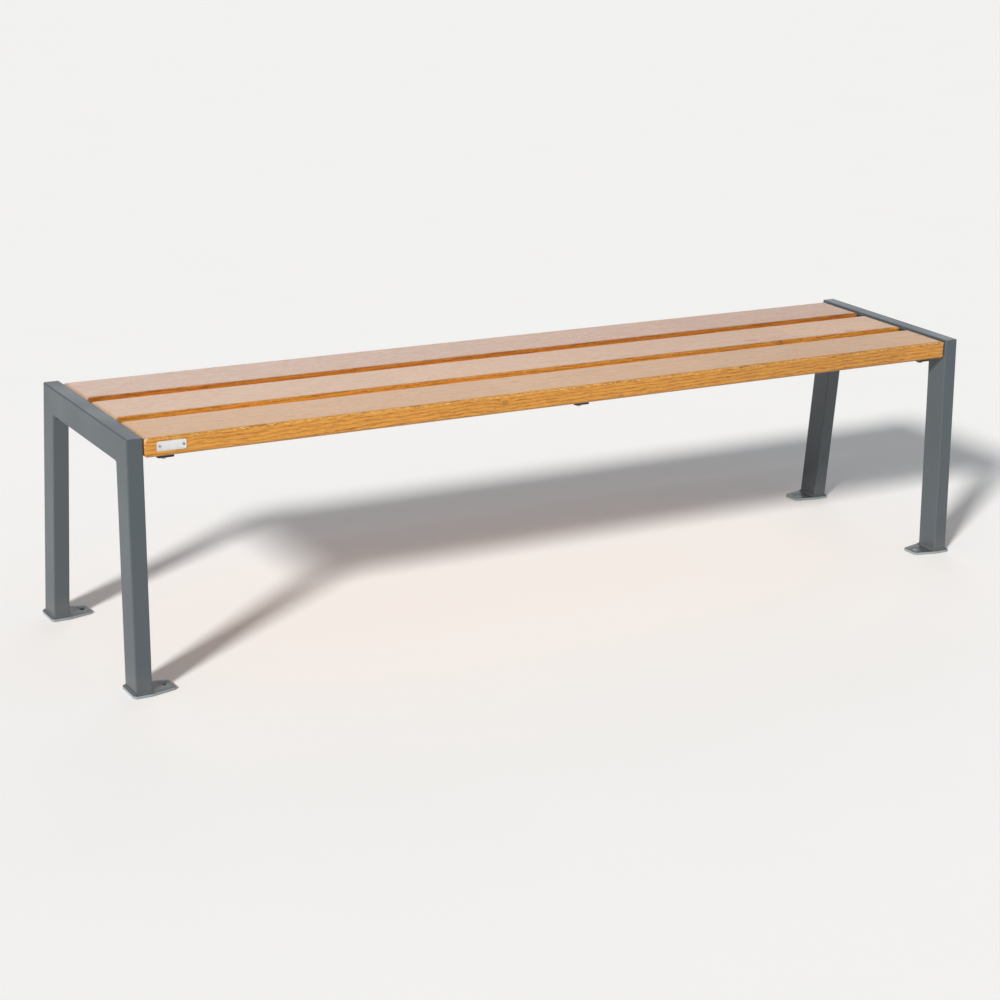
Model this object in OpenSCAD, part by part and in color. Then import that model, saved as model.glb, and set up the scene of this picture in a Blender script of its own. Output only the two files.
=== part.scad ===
// Backless street bench. Two welded steel end frames carry a seat of three
// hardwood slats, which is bolted together on three flat cross bars.
// The origin is on the floor at the centre of the footprint: +X runs along the
// seat, -Y is the front and +Z is up. All sizes are in millimetres.

/* [Bench] */
// Length over the two end frames
bench_l = 1800; // [1200:50:2200]
// Height of the end frames' top above the floor
bench_h = 450; // [400:5:500]
// Depth of the end frames at seat height
frame_d = 400; // [395:5:440]

/* [End frames] */
// Depth of the rectangular tube, seen from the end of the bench
tube_d = 50; // [40:1:60]
// Width of the rectangular tube, along the bench
tube_w = 30; // [25:1:40]
// Wall thickness of the tube
tube_wall = 2; // [1.5:0.5:3]
// Outer corner radius of the tube
tube_r = 2.5; // [1:0.5:4]
// How far each leg leans outwards from the seat down to the floor
foot_spread = 27; // [5:1:60]
// Length of the corner weld under the top rail
weld_run = 11; // [4:1:20]
// Height of the corner weld down the leg
weld_drop = 6; // [3:1:12]
// Leg length of the weld round each foot
foot_weld = 3; // [2:0.5:5]

/* [Base plates] */
// Thickness of a base plate
base_t = 5; // [4:1:8]
// Rim of a base plate round the foot of the leg
base_rim = 5; // [4:1:10]
// Reach of the base plate's tongue past the leg
base_reach = 47; // [40:1:70]
// Width of the tongue at its end
base_end_w = 36; // [30:1:44]
// Corner radius of a base plate
base_r = 6; // [2:0.5:7]
// Diameter of the anchor hole
anchor_d = 10; // [8:0.5:14]
// Distance from the anchor hole to the end of the tongue
anchor_edge = 14; // [11:1:20]

/* [Slats] */
// Width of a slat
slat_w = 112; // [100:1:114]
// Thickness of a slat
slat_t = 35; // [30:1:36]
// Radius along a slat's long edges
slat_r = 5; // [2:0.5:8]
// Radius along the edges of a slat's ends
slat_end_r = 10; // [1:0.5:12]
// Radius of a slat's corners, seen from above
slat_corner_r = 5; // [3:1:14]
// How far the slats lie below the top of the end frames
slat_drop = 2; // [0:0.5:3]
// Clearance between a slat's end and the end frame
slat_clear = 1.5; // [1:0.5:6]
// Setback of the front slat from the front of the end frames
front_set = 1; // [0:1:6]
// Setback of the rear slat from the rear of the end frames
rear_set = 10; // [0:1:10]

/* [Cross bars and lugs] */
// Width of a cross bar, along the bench
bar_w = 30; // [25:1:40]
// Thickness of a cross bar
bar_t = 5; // [4:1:6]
// Distance from an end frame to the middle of the end cross bar
bar_inset = 45; // [40:1:90]
// Setback of a cross bar's ends from the faces of the slats
bar_set = 8; // [4:1:15]
// Width of a seat lug
lug_w = 40; // [30:1:44]
// Thickness of a seat lug
lug_t = 5; // [4:1:6]
// Width of a lug's upright, which stands in the gap between two slats
upright_w = 20; // [14:1:20]
// How far the top of the upright lies below the top of the slats
upright_drop = 1; // [2:1:15]
// Leg length of the welds that hold a lug on the rail
lug_weld = 3; // [2:0.5:3]

/* [Fasteners] */
// Thread size of every screw and bolt
thread_d = 8; // [6:1:8]
// Length of a slat screw under its head
screw_l = 25; // [20:1:28]
// Distance from a slat's edge to its screws
screw_edge = 22; // [18:1:26]
// Length of a lug bolt under its head
bolt_l = 25; // [24:1:35]

/* [Nameplate] */
// Width of the blank nameplate
name_w = 53; // [30:1:70]
// Height of the blank nameplate
name_h = 17; // [12:1:22]
// Thickness of the blank nameplate
name_t = 1; // [0.5:0.1:1.5]
// Distance from the slat's end to the nameplate
name_inset = 23; // [15:1:60]

/* [Hidden] */
$fn = 64;
eps = 0.01;
LEFT = -1;
RIGHT = 1;
FRONT = -1;
REAR = 1;

// End frame: lean of the legs, and the plane that halves the corner for the mitre
splay = atan(foot_spread / bench_h);
mitre = (90 + splay) / 2;
tube_x = -bench_l / 2 + tube_w / 2;
rail_in = bench_l / 2 - tube_w;
rail_z = bench_h - tube_d;
corner_y = -frame_d / 2 + tube_d / tan(mitre);
leg_stock = bench_h / cos(splay) + tube_d;
foot_y = -(frame_d / 2 + foot_spread - tube_d / 2);
cut = 4 * tube_d;

// Base plate outline, measured from the middle of the leg's foot
base_out = tube_w / 2 + base_rim;
base_half = tube_d / 2 + base_rim;
base_bend_in = 2;
base_bend = tube_w / 2 - base_bend_in;
base_end = tube_w / 2 + base_reach;
anchor_x = base_end - anchor_edge;

// Seat: three slats share the depth between the setbacks, with equal gaps
seat_front = -frame_d / 2 + front_set;
seat_rear = frame_d / 2 - rear_set;
slat_pitch = (seat_rear - seat_front - slat_w) / 2;
slat_l = 2 * (rail_in - slat_clear);
slat_z = bench_h - slat_drop - slat_t;
slat_y = [for (i = [0:2]) seat_front + slat_w / 2 + i * slat_pitch];
gap_y = [for (i = [0:1]) (slat_y[i] + slat_y[i + 1]) / 2];
bar_x = [-(rail_in - bar_inset), 0, rail_in - bar_inset];
bar_z = slat_z - bar_t;
bar_l = seat_rear - seat_front - 2 * bar_set;
bar_r = 3;
lug_z = bar_z - lug_t;
lug_past = 5;
lug_l = bar_inset + bar_w / 2 + lug_past;
lug_r = 6;
upright_top = slat_z + slat_t - upright_drop;

// Fasteners: shanks are a running fit in the threads that hold them
screw_off = slat_w / 2 - screw_edge;
shank_d = thread_d - 0.2;
hole_d = thread_d + 1;
head_d = 1.75 * thread_d;
head_h = 0.55 * thread_d;
hex_af = thread_d + 5;
hex_d = hex_af / cos(30);
hex_h = 0.66 * thread_d;
hex_slope_h = 1;
hex_slope_w = 0.4;
nut_h = 0.8 * thread_d;
socket_d = 0.62 * thread_d / cos(30);
socket_h = 0.6 * head_h;
washer_d = 2 * thread_d;
washer_bore = thread_d + 0.4;
washer_t = 1.6;
insert_d = thread_d + 4;
insert_l = 18;
insert_rim = 0.05;
blind_past = 6;
blind_l = insert_l + blind_past;

// Nameplate and its two drive pins
name_r = 3;
name_x = -slat_l / 2 + name_inset + name_w / 2;
name_lift = 1;
name_z = slat_z + slat_t / 2 + name_lift;
pin_d = 2.4;
pin_head_d = 4.6;
pin_head_h = 0.9;
pin_l = 12;
pin_inset = 5;
pin_off = name_w / 2 - pin_inset;

steel_colour = "slategray";
black_colour = "#1d1e20";
wood_colour = "#cf9a5b";
zinc_colour = "silver";

// ---------------------------------------------------------------- shapes

function unit(v) = v / norm(v);
function before(p, i) = unit(p[(i + len(p) - 1) % len(p)] - p[i]);
function after(p, i) = unit(p[(i + 1) % len(p)] - p[i]);

// Convex outline whose corners are true arcs of radius r
module round_outline(p, r) {
    n = len(p);
    bend = [for (i = [0:n - 1]) acos(before(p, i) * after(p, i))];
    polygon([for (i = [0:n - 1], side = [0, 1])
        p[i] + (side == 0 ? before(p, i) : after(p, i)) * r * (1 + cos(bend[i])) / sin(bend[i])]);
    for (i = [0:n - 1])
        translate(p[i] + (before(p, i) + after(p, i)) * r / sin(bend[i])) circle(r);
}

// Centred rectangle with rounded corners
module round_rect(w, h, r) {
    round_outline([[-w / 2, -h / 2], [w / 2, -h / 2], [w / 2, h / 2], [-w / 2, h / 2]], r);
}

// Tab that stands up from the x axis, with its two top corners rounded
module tab(w, h, r) {
    translate([-w / 2, 0]) square([w, h - r]);
    translate([-w / 2 + r, h - r - eps]) square([w - 2 * r, r + eps]);
    for (s = [-1, 1]) translate([s * (w / 2 - r), h - r]) circle(r);
}

// Builds for the left end frame, and mirrors that for the right one
module at_end(side) {
    mirror([side == RIGHT ? 1 : 0, 0, 0]) children();
}

// Builds for the front leg, and mirrors that for the rear one
module at_row(row) {
    mirror([0, row == REAR ? 1 : 0, 0]) children();
}

// Rectangular tube along +Z, solid where bore is false
module tube(length, bore = true) {
    difference() {
        linear_extrude(length) round_rect(tube_w, tube_d, tube_r);
        if (bore)
            translate([0, 0, -eps]) linear_extrude(length + 2 * eps)
                round_rect(tube_w - 2 * tube_wall, tube_d - 2 * tube_wall,
                    max(tube_r - tube_wall, 0.5));
    }
}

// Stock for the front leg of the left frame, leaning out from the top corner
module leg_stock_tube(bore = true) {
    translate([tube_x, -frame_d / 2, bench_h]) rotate([-splay, 0, 0])
        translate([0, tube_d / 2, -leg_stock]) tube(leg_stock, bore);
}

// Half space on the rail's side (+1) or on the leg's side (-1) of the front mitre
module mitre_half(part) {
    translate([tube_x, -frame_d / 2, bench_h]) rotate([-mitre, 0, 0])
        translate([-tube_w, -cut / 2, part > 0 ? 0 : -cut]) cube([2 * tube_w, cut, cut]);
}

// ---------------------------------------------------------------- end frames

module top_rail(side) {
    color(steel_colour) at_end(side) difference() {
        translate([tube_x, frame_d / 2, bench_h - tube_d / 2]) rotate([90, 0, 0])
            tube(frame_d);
        for (row = [FRONT, REAR]) at_row(row) mitre_half(-1);
    }
}

module leg(side, row) {
    color(steel_colour) at_end(side) at_row(row) difference() {
        leg_stock_tube();
        mitre_half(1);
        translate([tube_x - tube_w, foot_y - cut, base_t - cut]) cube([2 * tube_w, 2 * cut, cut]);
    }
}

module base_plate(side, row) {
    color(steel_colour) at_end(side) at_row(row) translate([tube_x, foot_y, 0]) difference() {
        linear_extrude(base_t) round_outline([
            [-base_out, -base_half], [base_bend, -base_half], [base_end, -base_end_w / 2],
            [base_end, base_end_w / 2], [base_bend, base_half], [-base_out, base_half]], base_r);
        translate([anchor_x, 0, -eps]) cylinder(d = anchor_d, h = base_t + 2 * eps);
    }
}

// Triangular weld in each corner between the rail and a leg
module corner_welds(side) {
    width = tube_w - 2 * tube_r;
    color(steel_colour) at_end(side) for (row = [FRONT, REAR]) at_row(row)
        translate([tube_x - width / 2, 0, 0]) rotate([90, 0, 90]) linear_extrude(width)
            polygon([[corner_y, rail_z], [corner_y + weld_run, rail_z],
                [corner_y - weld_drop * tan(splay), rail_z - weld_drop]]);
}

// Sloping weld bead on the base plate all the way round each leg
module foot_welds(side) {
    foot = tube_d / cos(splay);
    foot_mid = -frame_d / 2 - (bench_h - base_t) * tan(splay) + foot / 2;
    color(steel_colour) at_end(side) for (row = [FRONT, REAR]) at_row(row) difference() {
        translate([tube_x, foot_mid, base_t]) intersection() {
            rotate([90, 0, 0]) translate([0, 0, -tube_d]) linear_extrude(2 * tube_d)
                weld_slope(tube_w / 2);
            rotate([90, 0, 90]) translate([0, 0, -tube_d]) linear_extrude(2 * tube_d)
                weld_slope(foot / 2);
        }
        leg_stock_tube(false);
    }
}

// Cross-section of the weld round a foot of half width w
module weld_slope(w) {
    polygon([[-w - foot_weld, 0], [w + foot_weld, 0], [w, foot_weld], [-w, foot_weld]]);
}

// Lug that the end cross bar is bolted on, with an upright that is welded to the rail
module seat_lug(side, gap) {
    color(steel_colour) at_end(side) translate([-rail_in, gap_y[gap], lug_z]) difference() {
        union() {
            linear_extrude(lug_t) rotate(-90) tab(lug_w, lug_l, lug_r);
            rotate([90, 0, 90]) linear_extrude(lug_t)
                tab(upright_w, upright_top - lug_z, lug_r);
        }
        translate([bar_inset, 0, -eps]) cylinder(d = hole_d, h = lug_t + 2 * eps);
    }
}

// Welds of both lugs: up the two sides of each upright, and along the plate beside it
module lug_welds(side) {
    rise = upright_top - lug_r - bar_z;
    run = (lug_w - upright_w) / 2;
    color(steel_colour) at_end(side) for (y = gap_y, s = [-1, 1])
        translate([-rail_in, y + s * upright_w / 2, bar_z]) mirror([0, s < 0 ? 1 : 0, 0]) {
            linear_extrude(rise) lug_bead();
            translate([0, run, 0]) rotate([90, 0, 0]) linear_extrude(run) lug_bead();
        }
}

// Cross-section of a lug's weld
module lug_bead() {
    polygon([[0, 0], [lug_weld, 0], [0, lug_weld]]);
}

// ---------------------------------------------------------------- seat

// Slat with rounded edges all round, drilled from below for its inserts
module slat(i) {
    color(wood_colour) translate([0, slat_y[i], slat_z]) difference() {
        intersection() {
            translate([-slat_l / 2, 0, slat_t / 2]) rotate([90, 0, 90]) linear_extrude(slat_l)
                round_rect(slat_w, slat_t, slat_r);
            translate([0, slat_w / 2, slat_t / 2]) rotate([90, 0, 0]) linear_extrude(slat_w)
                round_rect(slat_l, slat_t, slat_end_r);
            linear_extrude(slat_t) round_rect(slat_l, slat_w, slat_corner_r);
        }
        for (x = bar_x, s = [-1, 1]) translate([x, s * screw_off, -eps])
            cylinder(d = insert_d + 2 * insert_rim, h = blind_l);
        if (i == 0) for (s = [-1, 1])
            translate([name_x + s * pin_off, -slat_w / 2 - eps, name_z - slat_z])
                rotate([-90, 0, 0]) cylinder(d = pin_d + 2 * insert_rim, h = pin_l);
    }
}

module cross_bar(i) {
    mid = (seat_front + seat_rear) / 2;
    color(black_colour) difference() {
        translate([bar_x[i], mid, bar_z]) linear_extrude(bar_t) round_rect(bar_w, bar_l, bar_r);
        for (y = slat_y, s = [-1, 1])
            translate([bar_x[i], y + s * screw_off, bar_z - eps])
                cylinder(d = hole_d, h = bar_t + 2 * eps);
        if (i != 1) for (y = gap_y)
            translate([bar_x[i], y, bar_z - eps]) cylinder(d = hole_d, h = bar_t + 2 * eps);
    }
}

// ---------------------------------------------------------------- fasteners

module washer() {
    difference() {
        cylinder(d = washer_d, h = washer_t);
        translate([0, 0, -eps]) cylinder(d = washer_bore, h = washer_t + 2 * eps);
    }
}

// Domed socket screw that points up, with the underside of its head at z = 0
module dome_screw() {
    dome_r = (pow(head_d / 2, 2) + pow(head_h, 2)) / (2 * head_h);
    cylinder(d = shank_d, h = screw_l);
    difference() {
        rotate_extrude() intersection() {
            translate([0, dome_r - head_h]) circle(dome_r);
            translate([0, -head_h]) square([head_d / 2, head_h]);
        }
        translate([0, 0, -head_h - eps]) cylinder(d = socket_d, h = socket_h, $fn = 6);
    }
}

// Hexagon bolt that points down, with the underside of its head at z = 0
module hex_bolt() {
    translate([0, 0, -bolt_l]) cylinder(d = shank_d, h = bolt_l + eps);
    intersection() {
        cylinder(d = hex_d, h = hex_h, $fn = 6);
        rotate_extrude() polygon([[0, 0], [hex_d / 2, 0], [hex_d / 2, hex_h - hex_slope_h],
            [hex_af / 2 - hex_slope_w, hex_h], [0, hex_h]]);
    }
}

module hex_nut() {
    difference() {
        cylinder(d = hex_d, h = nut_h, $fn = 6);
        translate([0, 0, -eps]) cylinder(d = thread_d, h = nut_h + 2 * eps);
    }
}

module bar_screws(i) {
    color(zinc_colour) for (y = slat_y, s = [-1, 1])
        translate([bar_x[i], y + s * screw_off, bar_z - washer_t]) dome_screw();
}

module bar_washers(i) {
    color(zinc_colour) for (y = slat_y, s = [-1, 1])
        translate([bar_x[i], y + s * screw_off, bar_z - washer_t]) washer();
}

// Threaded sleeves set into the underside of a slat
module slat_inserts(i) {
    color(zinc_colour) for (x = bar_x, s = [-1, 1])
        translate([x, slat_y[i] + s * screw_off, slat_z]) difference() {
            cylinder(d = insert_d, h = insert_l);
            translate([0, 0, -eps]) cylinder(d = thread_d, h = insert_l + 2 * eps);
        }
}

module lug_bolts(side) {
    color(zinc_colour) at_end(side) for (y = gap_y)
        translate([bar_x[0], y, slat_z + washer_t]) hex_bolt();
}

module lug_bolt_washers() {
    color(zinc_colour) for (side = [LEFT, RIGHT]) at_end(side)
        for (y = gap_y, z = [slat_z, lug_z - washer_t]) translate([bar_x[0], y, z]) washer();
}

module lug_bolt_nuts() {
    color(zinc_colour) for (side = [LEFT, RIGHT]) at_end(side) for (y = gap_y)
        translate([bar_x[0], y, lug_z - washer_t - nut_h]) hex_nut();
}

// ---------------------------------------------------------------- nameplate

module nameplate() {
    color("gainsboro") translate([name_x, seat_front, name_z]) rotate([90, 0, 0]) difference() {
        linear_extrude(name_t) round_rect(name_w, name_h, name_r);
        for (s = [-1, 1]) translate([s * pin_off, 0, -eps])
            cylinder(d = pin_d + 2 * insert_rim, h = name_t + 2 * eps);
    }
}

module nameplate_pins() {
    color(zinc_colour) for (s = [-1, 1])
        translate([name_x + s * pin_off, seat_front - name_t, name_z]) rotate([90, 0, 0]) {
            translate([0, 0, -pin_l + name_t]) cylinder(d = pin_d, h = pin_l - name_t + eps);
            cylinder(d = pin_head_d, h = pin_head_h);
        }
}

top_rail(LEFT);  // left_top_rail
leg(LEFT, FRONT);  // left_front_leg
leg(LEFT, REAR);  // left_rear_leg
base_plate(LEFT, FRONT);  // left_front_base
base_plate(LEFT, REAR);  // left_rear_base
corner_welds(LEFT);  // left_corner_welds
foot_welds(LEFT);  // left_foot_welds
seat_lug(LEFT, 0);  // left_front_lug
seat_lug(LEFT, 1);  // left_rear_lug
lug_welds(LEFT);  // left_lug_welds
top_rail(RIGHT);  // right_top_rail
leg(RIGHT, FRONT);  // right_front_leg
leg(RIGHT, REAR);  // right_rear_leg
base_plate(RIGHT, FRONT);  // right_front_base
base_plate(RIGHT, REAR);  // right_rear_base
corner_welds(RIGHT);  // right_corner_welds
foot_welds(RIGHT);  // right_foot_welds
seat_lug(RIGHT, 0);  // right_front_lug
seat_lug(RIGHT, 1);  // right_rear_lug
lug_welds(RIGHT);  // right_lug_welds
slat(0);  // front_slat
slat(1);  // middle_slat
slat(2);  // rear_slat
cross_bar(0);  // left_cross_bar
cross_bar(1);  // centre_cross_bar
cross_bar(2);  // right_cross_bar
bar_screws(0);  // left_bar_screws
bar_screws(1);  // centre_bar_screws
bar_screws(2);  // right_bar_screws
bar_washers(0);  // left_bar_washers
bar_washers(1);  // centre_bar_washers
bar_washers(2);  // right_bar_washers
slat_inserts(0);  // front_slat_inserts
slat_inserts(1);  // middle_slat_inserts
slat_inserts(2);  // rear_slat_inserts
lug_bolts(LEFT);  // left_lug_bolts
lug_bolts(RIGHT);  // right_lug_bolts
lug_bolt_washers();
lug_bolt_nuts();
nameplate();
nameplate_pins();
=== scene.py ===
from math import radians

import bmesh
import bpy
from mathutils import Euler, Matrix, Vector


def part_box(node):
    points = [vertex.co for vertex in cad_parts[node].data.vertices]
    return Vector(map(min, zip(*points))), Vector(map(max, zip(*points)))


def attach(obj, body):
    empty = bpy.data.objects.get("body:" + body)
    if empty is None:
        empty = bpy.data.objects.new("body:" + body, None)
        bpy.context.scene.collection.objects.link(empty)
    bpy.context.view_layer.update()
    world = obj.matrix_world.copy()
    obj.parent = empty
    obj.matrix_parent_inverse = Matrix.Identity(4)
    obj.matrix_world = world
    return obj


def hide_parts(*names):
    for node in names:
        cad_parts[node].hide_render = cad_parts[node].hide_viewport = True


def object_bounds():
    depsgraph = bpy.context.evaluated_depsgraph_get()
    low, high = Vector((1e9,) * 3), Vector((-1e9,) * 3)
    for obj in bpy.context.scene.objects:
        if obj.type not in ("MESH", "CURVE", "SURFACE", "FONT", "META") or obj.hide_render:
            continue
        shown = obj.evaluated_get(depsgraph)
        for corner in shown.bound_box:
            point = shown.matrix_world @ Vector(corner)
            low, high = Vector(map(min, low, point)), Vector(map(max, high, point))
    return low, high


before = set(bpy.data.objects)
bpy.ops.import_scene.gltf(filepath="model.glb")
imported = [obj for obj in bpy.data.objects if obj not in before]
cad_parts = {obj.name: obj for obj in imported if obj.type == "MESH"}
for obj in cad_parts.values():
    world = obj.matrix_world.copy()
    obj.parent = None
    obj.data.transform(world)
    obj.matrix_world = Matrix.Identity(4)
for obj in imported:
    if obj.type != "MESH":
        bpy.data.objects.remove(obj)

cad_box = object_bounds()
MM = 0.001

# ---------------------------------------------------------------------- end frames: tubes
# Each end frame is a top rail and two legs of rectangular steel tube, mitred and welded at
# the corners, ground flush outside and powder-coated in a fine-textured blue-grey. The coat
# is painted a little paler along the tube's edges, partly as wear and partly as a painted
# highlight, and the legs carry some road dust near the ground.
DUST_HEIGHT = 60 * MM


def node(tree, kind, **sockets):
    """Adds a shader node, and sets or links its inputs by their names."""
    made = tree.nodes.new("ShaderNode" + kind)
    for name, value in sockets.items():
        socket = made.inputs[name.replace("_", " ")]
        if isinstance(value, bpy.types.NodeSocket):
            tree.links.new(value, socket)
        else:
            socket.default_value = value
    return made


def maths(tree, operation, *values):
    """A Math node's result."""
    made = tree.nodes.new("ShaderNodeMath")
    made.operation = operation
    for socket, value in zip(made.inputs, values):
        if isinstance(value, bpy.types.NodeSocket):
            tree.links.new(value, socket)
        else:
            socket.default_value = value
    return made.outputs[0]


def fade(tree, value, start, end, low=0.0, high=1.0):
    """Goes smoothly from low to high while value goes from start to end."""
    made = node(tree, "MapRange", Value=value)
    made.interpolation_type = "SMOOTHSTEP"
    for name, number in (("From Min", start), ("From Max", end), ("To Min", low), ("To Max", high)):
        made.inputs[name].default_value = number
    return made.outputs["Result"]


def blend(tree, share, under, over, way="MIX"):
    """Lays one colour over another by a share from 0 to 1."""
    made = tree.nodes.new("ShaderNodeMix")
    made.data_type = "RGBA"
    made.blend_type = way
    sockets = (made.inputs[0], made.inputs[6], made.inputs[7])
    for socket, value in zip(sockets, (share, under, over)):
        if isinstance(value, bpy.types.NodeSocket):
            tree.links.new(value, socket)
        else:
            socket.default_value = value
    return made.outputs[2]


def colour(*rgb):
    """A colour with its alpha, from linear red, green and blue."""
    return (*rgb, 1.0)


def speckle(tree, place, scale, stretch=(1, 1, 1), detail=2.0, roughness=0.5):
    """Noise from 0 to 1 with so many blobs to the metre, and the axes stretched apart."""
    mapped = node(tree, "Mapping", Vector=place, Scale=stretch)
    made = node(tree, "TexNoise", Vector=mapped.outputs[0], Scale=scale, Detail=detail,
                Roughness=roughness)
    return made.outputs["Fac"]


def raised(tree, height, depth, strength=1.0, under=None):
    """A surface normal bumped by a height from 0 to 1, times a depth in metres."""
    made = node(tree, "Bump", Height=height, Distance=depth, Strength=strength)
    if under is not None:
        tree.links.new(under, made.inputs["Normal"])
    return made.outputs["Normal"]


def edge_mask(tree, radius):
    """From 0 on a flat face to 1 on a sharp outer edge, within a radius."""
    soft = node(tree, "Bevel", Radius=radius)
    soft.samples = 4
    turn = tree.nodes.new("ShaderNodeVectorMath")
    turn.operation = "DOT_PRODUCT"
    tree.links.new(soft.outputs[0], turn.inputs[0])
    tree.links.new(node(tree, "NewGeometry").outputs["Normal"], turn.inputs[1])
    return fade(tree, turn.outputs["Value"], 0.995, 0.80)


def new_finish(name):
    """A new material: its node tree, its shader and its object coordinates."""
    made = bpy.data.materials.new(name)
    made.use_nodes = True
    tree = made.node_tree
    place = tree.nodes.new("ShaderNodeTexCoord").outputs["Object"]
    return made, tree, tree.nodes["Principled BSDF"], place


def painted_steel(name, dark, light, wear_and_highlight, gloss, painted_side_highlight=0.0):
    """Paint: fine orange peel, slow shifts in tone, dust low down, edges paler as wear and painted
    highlight.
    """
    made, tree, shader, place = new_finish(name)
    slow = speckle(tree, place, 7, detail=3)
    fine = speckle(tree, place, 1400, detail=1)
    coat = blend(tree, slow, dark, light)
    coat = blend(tree, fade(tree, fine, 0.35, 0.75, 0, 0.22), coat, light)
    height = node(tree, "SeparateXYZ", Vector=place).outputs["Z"]
    low_down = fade(tree, height, DUST_HEIGHT, 0, 0, 0.35)
    dust = maths(tree, "MULTIPLY", low_down, speckle(tree, place, 60, detail=4))
    coat = blend(tree, dust, coat, colour(0.20, 0.19, 0.17))
    if painted_side_highlight:
        # Painted highlight: upright faces, such as a plate's sides, are painted paler as if
        # catching the light
        normal = node(tree, "NewGeometry").outputs["Normal"]
        facing = maths(tree, "ABSOLUTE", node(tree, "SeparateXYZ", Vector=normal).outputs["Z"])
        coat = blend(tree, fade(tree, facing, 0.75, 0.35, 0, painted_side_highlight), coat, wear_and_highlight)
    # Edges are painted paler, partly as wear and partly as a painted highlight
    edges_worn_and_lit = edge_mask(tree, 1.6 * MM)
    patchy = fade(tree, speckle(tree, place, 45, detail=4), 0.35, 0.65, 0.25, 1.0)
    coat = blend(tree, maths(tree, "MULTIPLY", edges_worn_and_lit, patchy), coat, wear_and_highlight)
    tree.links.new(coat, shader.inputs["Base Color"])
    rough = fade(tree, slow, 0.3, 0.7, gloss - 0.05, gloss + 0.07)
    tree.links.new(rough, shader.inputs["Roughness"])
    peel = raised(tree, speckle(tree, place, 420, detail=2), 0.10 * MM, 0.35)
    tree.links.new(raised(tree, fine, 0.03 * MM, 0.5, peel), shader.inputs["Normal"])
    return made


def coat_nodes(material, *nodes):
    """Gives carried-over nodes a finish through their objects' own material slots."""
    for name in nodes:
        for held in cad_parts[name].material_slots:
            held.link = "OBJECT"
            held.material = material


powder_coat = painted_steel(
    "blue_grey_powder_coat", dark=colour(0.060, 0.076, 0.088), light=colour(0.081, 0.098, 0.110),
    wear_and_highlight=colour(0.105, 0.121, 0.133), gloss=0.40,
)
SIDES = ("left", "right")
ROWS = ("front", "rear")
for side in SIDES:
    coat_nodes(powder_coat, f"{side}_top_rail", f"{side}_front_leg", f"{side}_rear_leg")

# ---------------------------------------------------------------------- end frames: welds
# A filled corner weld closes each inner mitre, short fillets hold the seat lugs to the rail,
# and a fillet runs all the way round each foot on its plate. All are laid by hand in short
# overlapping ripples, and are coated together with the tube.
RIPPLE = 2.6 * MM
RIPPLE_HEIGHT = 0.35 * MM
FOOT_SPAN = 60 * MM
BEAD_CUTS = 22
FOOT_CUTS_ACROSS = 60
FOOT_CUTS_ALONG = 100
LEVEL_SPAN = 100  # so long that the ripples stay the same all the way up a bead


def work_on(piece):
    """Makes the piece the only selected one, and opens it for editing."""
    bpy.ops.object.select_all(action="DESELECT")
    piece.select_set(True)
    bpy.context.view_layer.objects.active = piece
    bpy.ops.object.mode_set(mode="EDIT")
    bpy.ops.mesh.select_mode(type="EDGE")
    bpy.ops.mesh.select_all(action="DESELECT")


def pick_edges(piece, wanted):
    """Selects just the edges that a test accepts, given the edge's ends and its faces."""
    bpy.ops.mesh.select_all(action="DESELECT")
    shape = bmesh.from_edit_mesh(piece.data)
    for edge in shape.edges:
        if wanted(edge):
            edge.select_set(True)
    shape.select_flush_mode()
    bmesh.update_edit_mesh(piece.data)


def runs_along(axis, shortest=0.0):
    """A test for edges that run along an axis and are at least so long."""
    def test(edge):
        way = edge.verts[1].co - edge.verts[0].co
        return way.length > shortest and abs(way[axis]) > 0.98 * way.length
    return test


def is_arris(edge):
    """True for an edge between two faces that meet at more than 35 degrees."""
    return len(edge.link_faces) == 2 and edge.calc_face_angle() > radians(35)


def merged_copy(name, source, whole_faces=True):
    """A clean copy of a node's mesh, open for editing, with its loose triangles joined up."""
    piece = bpy.data.objects.new(name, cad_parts[source].data.copy())
    bpy.context.collection.objects.link(piece)
    work_on(piece)
    bpy.ops.mesh.select_all(action="SELECT")
    bpy.ops.mesh.remove_doubles(threshold=0.002 * MM)
    if whole_faces:
        bpy.ops.mesh.dissolve_limited(angle_limit=radians(1))
    bpy.ops.mesh.select_all(action="DESELECT")
    return piece


def displace(piece, texture, span, height):
    """Raises the surface by a texture whose unit is stretched to a span along each axis."""
    bpy.ops.object.mode_set(mode="OBJECT")
    ruler = bpy.data.objects.new("ruler", None)
    bpy.context.collection.objects.link(ruler)
    ruler.scale = span
    bpy.context.view_layer.update()
    relief = piece.modifiers.new("relief", "DISPLACE")
    relief.texture = texture
    relief.texture_coords = "OBJECT"
    relief.texture_coords_object = ruler
    relief.strength = height
    relief.mid_level = 0.5
    bpy.ops.object.modifier_apply(modifier="relief")
    bpy.data.objects.remove(ruler)


def cut_across(axis, start, end, count):
    """Cuts the open mesh straight through at evenly spaced places along an axis."""
    across = Vector([axis == other for other in range(3)])
    for i in range(count + 1):
        cut = start + i * (end - start) / count
        bpy.ops.mesh.select_all(action="SELECT")
        bpy.ops.mesh.bisect(plane_co=across * cut, plane_no=across)


def fit_piece(piece, material, source):
    """Finishes a piece: smooth round its curves, one material, riding on the frame."""
    if piece.mode == "EDIT":
        bpy.ops.object.mode_set(mode="OBJECT")
    bpy.ops.object.shade_smooth_by_angle(angle=radians(32))
    piece.data.name = piece.name
    piece.data.materials.clear()
    piece.data.materials.append(material)
    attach(piece, "root")
    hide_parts(source)


ripples = bpy.data.textures.new("weld_ripples", "WOOD")
ripples.wood_type = "BANDS"
ripples.noise_basis_2 = "SIN"
BAND = 0.6283  # a full wave of this texture, in its own units

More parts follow.
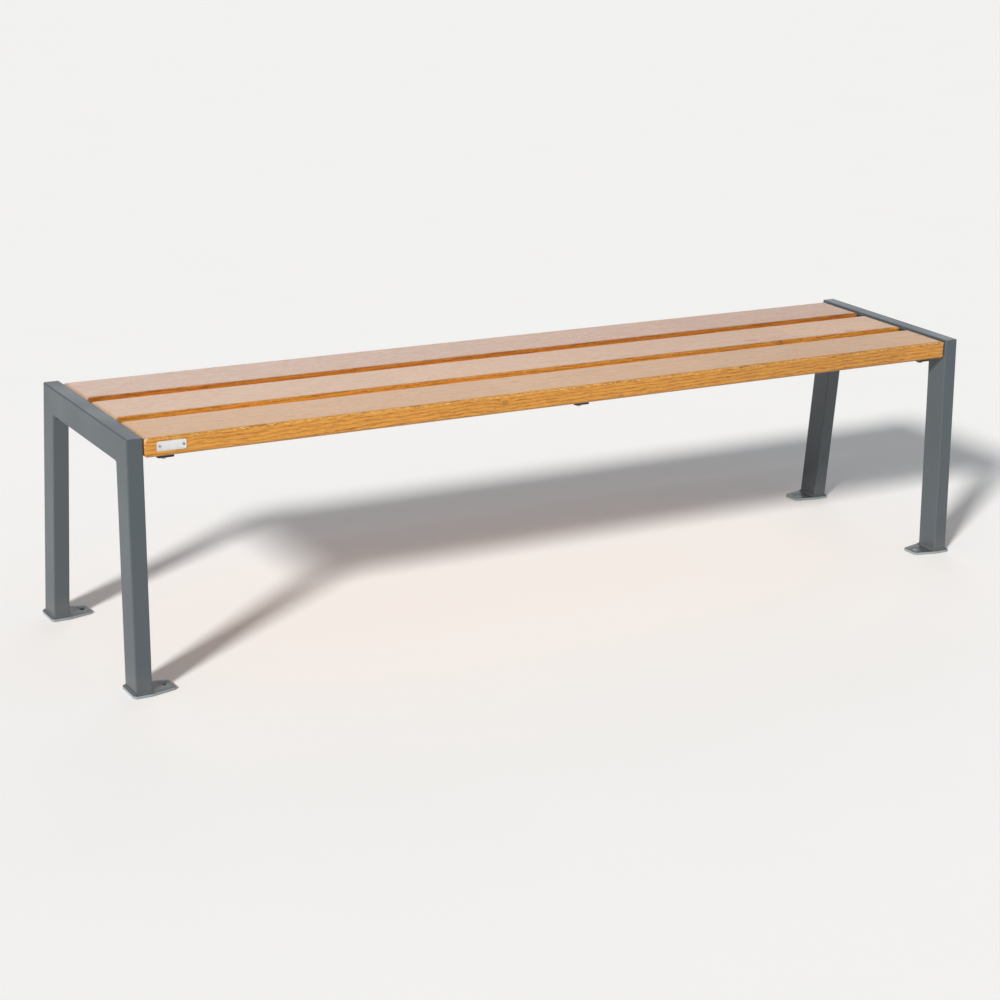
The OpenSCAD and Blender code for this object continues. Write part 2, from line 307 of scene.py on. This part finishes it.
for side in SIDES:
    for place in ("corner", "lug"):
        bead = merged_copy(f"{side}_{place}_weld_beads", f"{side}_{place}_welds")
        pick_edges(bead, is_arris)
        bpy.ops.mesh.bevel(offset=0.5 * MM, segments=2, affect="EDGES")
        for axis in range(3):
            pick_edges(bead, runs_along(axis, 4 * MM))
            bpy.ops.mesh.subdivide(number_cuts=BEAD_CUTS)
        displace(bead, ripples, (RIPPLE / BAND,) * 3, RIPPLE_HEIGHT)
        fit_piece(bead, powder_coat, f"{side}_{place}_welds")

    foot = merged_copy(f"{side}_foot_weld_beads", f"{side}_foot_welds")
    low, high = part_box(f"{side}_foot_welds")
    cut_across(0, low.x, high.x, FOOT_CUTS_ACROSS)
    cut_across(1, low.y, low.y + FOOT_SPAN, FOOT_CUTS_ALONG)
    cut_across(1, high.y - FOOT_SPAN, high.y, FOOT_CUTS_ALONG)
    displace(foot, ripples, (RIPPLE / BAND, RIPPLE / BAND, LEVEL_SPAN), RIPPLE_HEIGHT)
    fit_piece(foot, powder_coat, f"{side}_foot_welds")

# ---------------------------------------------------------------------- base plates and lugs
# Each foot stands on a laser-cut plate whose tapered tongue takes one ground anchor, and two
# lugs with an upright back are welded to the inside of each rail to carry the seat. Edges are
# broken with a file before coating. The coat on them is painted pale, partly as scuffing and
# partly as a painted highlight, the plates' upright sides are painted paler as a painted
# highlight, and the lugs are painted near-black as painted shade.
plate_coat = painted_steel(
    "plate_coat_painted_highlights", dark=colour(0.050, 0.060, 0.070), light=colour(0.068, 0.080, 0.091),
    wear_and_highlight=colour(0.30, 0.34, 0.37), gloss=0.42, painted_side_highlight=0.85,
)
# The lugs are painted near-black as painted shade, with pale blue-grey edges as painted highlights
lug_shade_coat = painted_steel(
    "lug_coat_painted_shade", dark=colour(0.018, 0.024, 0.032), light=colour(0.030, 0.038, 0.048),
    wear_and_highlight=colour(0.52, 0.60, 0.68), gloss=0.36,
)


def broken_edges(name, width, source):
    """A clean copy of a flat plate with its sharp edges filed to a small round."""
    piece = merged_copy(name, source)
    pick_edges(piece, is_arris)
    bpy.ops.mesh.bevel(offset=width, segments=3, affect="EDGES", clamp_overlap=True)
    return piece


for side in SIDES:
    for row in ROWS:
        plate = broken_edges(f"{side}_{row}_base_plate", 0.8 * MM, f"{side}_{row}_base")
        fit_piece(plate, plate_coat, f"{side}_{row}_base")
        lug = broken_edges(f"{side}_{row}_seat_lug", 0.5 * MM, f"{side}_{row}_lug")
        fit_piece(lug, lug_shade_coat, f"{side}_{row}_lug")

# ---------------------------------------------------------------------- cross bars
# Three flat bars of black-painted steel lie across under the slats, and hold them level and
# evenly spaced. Their corners are rounded and their edges broken.
black_paint = painted_steel(
    "black_bar_paint", dark=colour(0.011, 0.011, 0.012), light=colour(0.020, 0.020, 0.022),
    wear_and_highlight=colour(0.07, 0.07, 0.075), gloss=0.34,
)
for place in ("left", "centre", "right"):
    bar = broken_edges(f"{place}_cross_bar_flat", 0.6 * MM, f"{place}_cross_bar")
    fit_piece(bar, black_paint, f"{place}_cross_bar")

# ---------------------------------------------------------------------- slats
# Three hardwood slats make the seat. Each is glued up from shorter lengths, planed with
# rounded edges all round and finished in a golden glaze. The top is painted paler as a painted
# reflection, the rounded top edge carries painted glints and the bottom edge a painted shade,
# and the harder late wood stands a little proud of the soft early wood.
slat_box = {row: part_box(f"{row}_slat") for row in ("front", "middle", "rear")}
SLAT_ROUND = 5 * MM
SLAT_END_ROUND = 10 * MM
SHEEN_DEPTH = 1.3 * MM  # the painted sheen on top ends this far down the rounded top edge
RING_SPACING = 4.6 * MM
STAVE_LENGTH = 0.46


def glazed_wood(name, row, tone_and_shade, sheen_colour, pith, seed, painted_glint_share, knots):
    """Golden glazed wood of one slat: growth rings round a pith, fibres, pores and knots."""
    made, tree, shader, place = new_finish(name)
    low, high = slat_box[row]
    centre = (low + high) / 2
    axes = node(tree, "SeparateXYZ", Vector=place).outputs

    # Distance from the pith, which drifts along the slat and is pushed aside by the knots
    drift_y = maths(tree, "MULTIPLY", axes["X"], 0.012)
    drift_z = maths(tree, "MULTIPLY", axes["X"], -0.009)
    off_y = maths(tree, "ADD", maths(tree, "SUBTRACT", axes["Y"], centre.y + pith[0]), drift_y)
    off_z = maths(tree, "ADD", maths(tree, "SUBTRACT", axes["Z"], centre.z + pith[1]), drift_z)
    square_y = maths(tree, "MULTIPLY", off_y, off_y)
    square_z = maths(tree, "MULTIPLY", off_z, off_z)
    reach = maths(tree, "SQRT", maths(tree, "ADD", square_y, square_z))
    sway = speckle(tree, place, 1.0, (1.9, 7, 7), detail=2)
    waver = speckle(tree, place, 1.0, (30, 75, 75), detail=3)
    reach = maths(tree, "ADD", reach, maths(tree, "MULTIPLY", sway, 16 * MM))
    reach = maths(tree, "ADD", reach, maths(tree, "MULTIPLY", waver, 5.5 * MM))
    knotty = 0.0
    for x, y, z, size in knots:
        centred = node(tree, "Mapping", Vector=place, Location=(-x, -y, -z))
        squeeze = (0.55 / size, 1 / size, 1 / size)
        shrunk = node(tree, "Mapping", Vector=centred.outputs[0], Scale=squeeze)
        length = tree.nodes.new("ShaderNodeVectorMath")
        length.operation = "LENGTH"
        tree.links.new(shrunk.outputs[0], length.inputs[0])
        gone = maths(tree, "POWER", length.outputs["Value"], 2.0)
        near = maths(tree, "EXPONENT", maths(tree, "MULTIPLY", gone, -1.0))
        knotty = maths(tree, "MAXIMUM", knotty, near)
    reach = maths(tree, "ADD", reach, maths(tree, "MULTIPLY", knotty, 13 * MM))

    ring = maths(tree, "FRACT", maths(tree, "DIVIDE", reach, RING_SPACING))
    late = maths(tree, "MULTIPLY", fade(tree, ring, 0.45, 0.82), fade(tree, ring, 1.0, 0.90))
    fibre = speckle(tree, place, 1.0, (26, 800, 800), detail=3, roughness=0.6)
    dash = speckle(tree, place, 1.0, (64, 520, 520), detail=2, roughness=0.55)
    dash = fade(tree, dash, 0.50, 0.60)
    pores = fade(tree, speckle(tree, place, 1.0, (70, 1300, 1300), detail=1), 0.60, 0.70)

    streaks = maths(tree, "MULTIPLY", late, maths(tree, "MULTIPLY_ADD", dash, 0.40, 0.42))
    wood = blend(tree, streaks, colour(0.700, 0.305, 0.040), colour(0.300, 0.092, 0.006))
    wood = blend(tree, maths(tree, "MULTIPLY", dash, 0.42), wood, colour(0.360, 0.120, 0.009))
    wood = blend(tree, fade(tree, fibre, 0.40, 0.75, 0, 0.30), wood, colour(0.760, 0.380, 0.065))
    wood = blend(tree, maths(tree, "MULTIPLY", pores, 0.35), wood, colour(0.20, 0.065, 0.006))
    wood = blend(tree, fade(tree, knotty, 0.35, 0.95, 0, 0.50), wood, colour(0.24, 0.080, 0.010))

    # The lengths that a slat is glued up from differ a little in tone
    stave = node(tree, "TexWhiteNoise")
    stave.noise_dimensions = "1D"
    along = maths(tree, "DIVIDE", maths(tree, "ADD", axes["X"], seed), STAVE_LENGTH)
    tree.links.new(maths(tree, "FLOOR", along), stave.inputs["W"])
    lengths = maths(tree, "MULTIPLY_ADD", stave.outputs["Value"], 0.10, 0.95)
    wood = blend(tree, 1.0, wood, tone_and_shade, "MULTIPLY")

    # Painted sheen: the top is painted paler, standing in for the reflection of the bright
    # surround, with the grain still showing through
    near_end = fade(tree, axes["X"], low.x + SLAT_END_ROUND, low.x, 0, SLAT_END_ROUND)
    level = maths(tree, "ADD", axes["Z"], near_end)
    painted_sheen = fade(tree, level, high.z - SHEEN_DEPTH, high.z - 0.15 * MM)
    painted_sheen = maths(tree, "MULTIPLY", painted_sheen, fade(tree, fibre, 0.25, 0.75, 0.90, 0.56))
    painted_sheen = maths(tree, "MULTIPLY", painted_sheen, fade(tree, dash, 0.0, 1.0, 1.0, 0.78))
    # The painted sheen is patchy, and stronger towards the left end
    wear_and_highlight = speckle(tree, place, 1.0, (55, 190, 190), detail=3, roughness=0.65)
    painted_sheen = maths(tree, "MULTIPLY", painted_sheen, fade(tree, wear_and_highlight, 0.32, 0.68, 1.14, 0.80))
    painted_sheen = maths(tree, "MULTIPLY", painted_sheen, fade(tree, axes["X"], low.x, high.x, 1.26, 0.88))
    painted_sheen = maths(tree, "MULTIPLY", painted_sheen, fade(tree, knotty, 0.2, 0.9, 1.0, 0.55))
    wood = blend(tree, painted_sheen, wood, sheen_colour)

    # Painted glints: pale specks along the rounded top edge stand in for open grain catching the
    # light
    rising = fade(tree, axes["Z"], high.z - 7 * MM, high.z - 3 * MM)
    falling = fade(tree, axes["Z"], high.z - 0.2 * MM, high.z - 1.6 * MM)
    rounding = maths(tree, "MULTIPLY", rising, falling)
    glint = fade(tree, speckle(tree, place, 1.0, (130, 700, 700), detail=2), 0.54, 0.62)
    glint = maths(tree, "MULTIPLY", maths(tree, "MULTIPLY", rounding, glint), painted_glint_share)
    wood = blend(tree, glint, wood, colour(0.86, 0.58, 0.24))
    # Painted shade: the rounded bottom edge is painted darker, as it turns away from the light
    painted_edge_shade = fade(tree, axes["Z"], low.z + 5 * MM, low.z + 0.8 * MM, 0, 0.45)
    wood = blend(tree, painted_edge_shade, wood, colour(0.40, 0.150, 0.022))

    # The tone also shifts slowly from the left end to the right one
    shift = maths(tree, "MULTIPLY", lengths, fade(tree, axes["X"], low.x, high.x, 1.10, 0.90))
    shade = node(tree, "CombineColor", Red=shift, Green=shift, Blue=shift).outputs[0]
    wood = blend(tree, 1.0, wood, shade, "MULTIPLY")

    tree.links.new(wood, shader.inputs["Base Color"])
    tree.links.new(fade(tree, fibre, 0.25, 0.75, 0.36, 0.52), shader.inputs["Roughness"])
    shader.inputs["Coat Weight"].default_value = 0.12
    shader.inputs["Coat Roughness"].default_value = 0.30
    ridges = raised(tree, late, 0.22 * MM, 0.6)
    tree.links.new(raised(tree, fibre, 0.20 * MM, 0.55, ridges), shader.inputs["Normal"])
    return made


grain = bpy.data.textures.new("raised_grain", "CLOUDS")
grain.noise_scale = 0.25
grain.noise_depth = 2
GRAIN_SPAN = (1.4, 0.020, 0.020)
GRAIN_HEIGHT = 0.45 * MM
CUTS = ((18 * MM, SLAT_END_ROUND), (1.8 * MM, SLAT_ROUND), (2.2 * MM, SLAT_END_ROUND))


def planed_slat(name, row):
    """A copy of a slat, cut finely through its flat faces for the raised grain to lift."""
    slat = merged_copy(name, f"{row}_slat", whole_faces=False)
    low, high = slat_box[row]
    for axis, (step, margin) in enumerate(CUTS):
        start, end = low[axis] + margin, high[axis] - margin
        cut_across(axis, start, end, int((end - start) / step))
    return slat


# Each knot: where its centre is along, across and up, and its size
front, middle, rear = (slat_box[row] for row in ("front", "middle", "rear"))
front_knots = (
    (-0.173, front[0].y, front[1].z - 15 * MM, 6 * MM),
    (-0.111, front[0].y + 73 * MM, front[1].z, 5 * MM),
    (0.42, front[1].y, front[1].z - 18 * MM, 10 * MM),
    (-0.58, front[1].y - 30 * MM, front[0].z, 11 * MM),
)
middle_knots = (
    (0.744, middle[0].y + 13 * MM, middle[1].z, 11 * MM),
    (-0.513, middle[0].y + 16 * MM, middle[1].z, 5 * MM),
    (0.555, middle[0].y + 2 * MM, middle[1].z - 5 * MM, 8 * MM),
    (0.11, middle[1].y, middle[0].z, 9 * MM),
    (0.500, middle[0].y + 24 * MM, middle[1].z, 12 * MM),
)
rear_knots = (
    (-0.30, rear[1].y, rear[1].z - 14 * MM, 10 * MM),
    (0.47, rear[1].y - 40 * MM, rear[0].z, 12 * MM),
)
front_wood = glazed_wood(
    "golden_glaze_front", "front", tone_and_shade=colour(0.90, 0.90, 0.88),
    sheen_colour=colour(0.63, 0.385, 0.220), pith=(14 * MM, -62 * MM), seed=0.155, painted_glint_share=0.75,
    knots=front_knots,
)
# The middle and rear slats are toned darker and redder, partly as painted shade in the narrow gaps
# in front of them
middle_wood = glazed_wood(
    "golden_glaze_middle", "middle", tone_and_shade=colour(0.98, 0.87, 0.64),
    sheen_colour=colour(0.65, 0.455, 0.330), pith=(-20 * MM, -58 * MM), seed=0.31, painted_glint_share=0.45,
    knots=middle_knots,
)
rear_wood = glazed_wood(
    "golden_glaze_rear", "rear", tone_and_shade=colour(0.80, 0.62, 0.45),
    sheen_colour=colour(0.62, 0.445, 0.350), pith=(24 * MM, -70 * MM), seed=0.02, painted_glint_share=0.15,
    knots=rear_knots,
)
for row, wood in (("front", front_wood), ("middle", middle_wood), ("rear", rear_wood)):
    board = planed_slat(f"{row}_slat_board", row)
    displace(board, grain, GRAIN_SPAN, GRAIN_HEIGHT)
    fit_piece(board, wood, f"{row}_slat")

# ---------------------------------------------------------------------- screws, bolts and inserts
# Domed socket screws come up through washers and the cross bars into threaded sleeves in the
# slats, and hexagon bolts hold the end bars down on the lugs. All are zinc-plated steel that
# has dulled outdoors.


def zinc_plate(name, bright, dull):
    """Zinc plating: fine turning marks, dull bloom in patches and paler edges."""
    made, tree, shader, place = new_finish(name)
    bloom = speckle(tree, place, 160, detail=4, roughness=0.6)
    fine = speckle(tree, place, 2600, detail=2)
    skin = blend(tree, fade(tree, bloom, 0.35, 0.68), bright, dull)
    skin = blend(tree, fade(tree, fine, 0.4, 0.8, 0, 0.25), skin, colour(0.16, 0.16, 0.165))
    skin = blend(tree, edge_mask(tree, 0.5 * MM), skin, colour(0.62, 0.63, 0.64))
    tree.links.new(skin, shader.inputs["Base Color"])
    shader.inputs["Metallic"].default_value = 1.0
    tree.links.new(fade(tree, bloom, 0.3, 0.7, 0.28, 0.52), shader.inputs["Roughness"])
    tree.links.new(raised(tree, fine, 0.02 * MM, 0.4), shader.inputs["Normal"])
    return made


zinc = zinc_plate("dulled_zinc", bright=colour(0.50, 0.51, 0.52), dull=colour(0.33, 0.34, 0.345))
for place in ("left", "centre", "right"):
    coat_nodes(zinc, f"{place}_bar_screws", f"{place}_bar_washers")
for row in slat_box:
    coat_nodes(zinc, f"{row}_slat_inserts")
for side in SIDES:
    coat_nodes(zinc, f"{side}_lug_bolts")
coat_nodes(zinc, "lug_bolt_washers", "lug_bolt_nuts", "nameplate_pins")

# ---------------------------------------------------------------------- nameplate
# A small blank plate is pinned to the front slat near its left end. It is pressed from satin
# anodised aluminium with a rounded rim that stands proud of a brushed field.
PLATE_CORNER = 3 * MM
RIM_WIDTH = 1.5 * MM
FIELD_DEPTH = 0.35 * MM


def satin_aluminium(name):
    """Anodised aluminium brushed along its length, with a slightly duller field."""
    made, tree, shader, place = new_finish(name)
    brush = speckle(tree, place, 1.0, (60, 400, 5200), detail=3, roughness=0.65)
    bloom = speckle(tree, place, 90, detail=4)
    lines = fade(tree, brush, 0.3, 0.7)
    skin = blend(tree, lines, colour(0.74, 0.75, 0.76), colour(0.90, 0.91, 0.92))
    skin = blend(tree, fade(tree, bloom, 0.45, 0.75, 0, 0.25), skin, colour(0.60, 0.60, 0.59))
    tree.links.new(skin, shader.inputs["Base Color"])
    shader.inputs["Metallic"].default_value = 0.65
    tree.links.new(fade(tree, brush, 0.3, 0.7, 0.30, 0.46), shader.inputs["Roughness"])
    tree.links.new(raised(tree, brush, 0.02 * MM, 0.4), shader.inputs["Normal"])
    return made


def faces_front(piece):
    """Selects the one large face that looks to the front."""
    bpy.ops.mesh.select_mode(type="FACE")
    bpy.ops.mesh.select_all(action="DESELECT")
    shape = bmesh.from_edit_mesh(piece.data)
    forward = [face for face in shape.faces if face.normal.y < -0.9]
    max(forward, key=lambda face: face.calc_area()).select_set(True)
    bmesh.update_edit_mesh(piece.data)


plate_low, plate_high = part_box("nameplate")
bpy.ops.object.select_all(action="DESELECT")
bpy.ops.mesh.primitive_cube_add(size=1, location=(plate_low + plate_high) / 2)
badge = bpy.context.object
badge.name = "blank_nameplate"
badge.scale = plate_high - plate_low
bpy.ops.object.transform_apply(location=True, rotation=True, scale=True)
work_on(badge)
pick_edges(badge, runs_along(1))
bpy.ops.mesh.bevel(offset=PLATE_CORNER, segments=6, affect="EDGES")
faces_front(badge)
bpy.ops.mesh.inset(thickness=RIM_WIDTH * 0.3, depth=0)
bpy.ops.mesh.inset(thickness=RIM_WIDTH * 0.7, depth=0)
bpy.ops.mesh.inset(thickness=0.4 * MM, depth=-FIELD_DEPTH)
bpy.ops.mesh.select_mode(type="EDGE")
pick_edges(badge, is_arris)
bpy.ops.mesh.bevel(offset=0.18 * MM, segments=2, affect="EDGES")
fit_piece(badge, satin_aluminium("brushed_nameplate"), "nameplate")

# ---------------------------------------------------------------------- floor
# A plain pale studio floor, wide enough to run past the view on every side. It lies a hair
# under the base plates, so that the two never share a face.
FLOOR_SIZE = 80
floor_finish, floor_tree, floor_shader, floor_place = new_finish("pale_floor")
floor_tone = blend(floor_tree, speckle(floor_tree, floor_place, 2.5, detail=4),
                   colour(0.955, 0.955, 0.955), colour(0.975, 0.975, 0.975))
floor_tree.links.new(floor_tone, floor_shader.inputs["Base Color"])
floor_shader.inputs["Roughness"].default_value = 0.9
floor_shader.inputs["Specular IOR Level"].default_value = 0.2
bpy.ops.mesh.primitive_plane_add(size=FLOOR_SIZE, location=(0, 0, cad_box[0].z - 0.3 * MM))
floor = bpy.context.object
floor.name = "studio_floor"
floor.data.materials.append(floor_finish)

# ---------------------------------------------------------------------- light
# A soft key from the front left, a very broad low light from behind that glances along the
# top of the seat, and an even pale surround.
bpy.context.scene.view_settings.view_transform = "Standard"
surround = bpy.data.worlds.new("pale_surround")
bpy.context.scene.world = surround
surround.use_nodes = True
surround.node_tree.nodes["Background"].inputs["Color"].default_value = colour(0.94, 0.97, 1.0)
surround.node_tree.nodes["Background"].inputs["Strength"].default_value = 0.31


def soft_light(name, come_from, strength, spread, tint):
    """A wide even light from far away, so that it falls alike on everything."""
    bpy.ops.object.light_add(type="SUN", location=come_from)
    made = bpy.context.object
    made.name = name
    made.data.energy = strength
    made.data.angle = radians(spread)
    made.data.color = tint
    made.rotation_euler = (-come_from).to_track_quat("-Z", "Y").to_euler()


soft_light("key_light", Vector((-1.78, -1.22, 1.30)), 3.62, 8, (1.0, 0.975, 0.935))
soft_light("back_light", Vector((0.95, 1.60, 0.62)), 0.42, 42, (0.93, 0.96, 1.0))

# ---------------------------------------------------------------------- camera
# A long lens, standing in front of the bench's left half and looking down along it, turned
# a little about its own axis.
EYE = Vector((-2.182, -3.521, 1.496))
LOOK_TURN = radians(-31.12)
LOOK_DOWN = radians(17.82)
LEAN = radians(2.03)
bpy.ops.object.camera_add(location=EYE)
camera = bpy.context.object
camera.name = "camera"
camera.data.lens = 80.04
camera.data.sensor_width = 36
aim = Euler((radians(90) - LOOK_DOWN, 0, LOOK_TURN)).to_matrix().to_4x4()
camera.matrix_world = Matrix.Translation(EYE) @ aim @ Matrix.Rotation(LEAN, 4, "Z")
bpy.context.scene.camera = camera
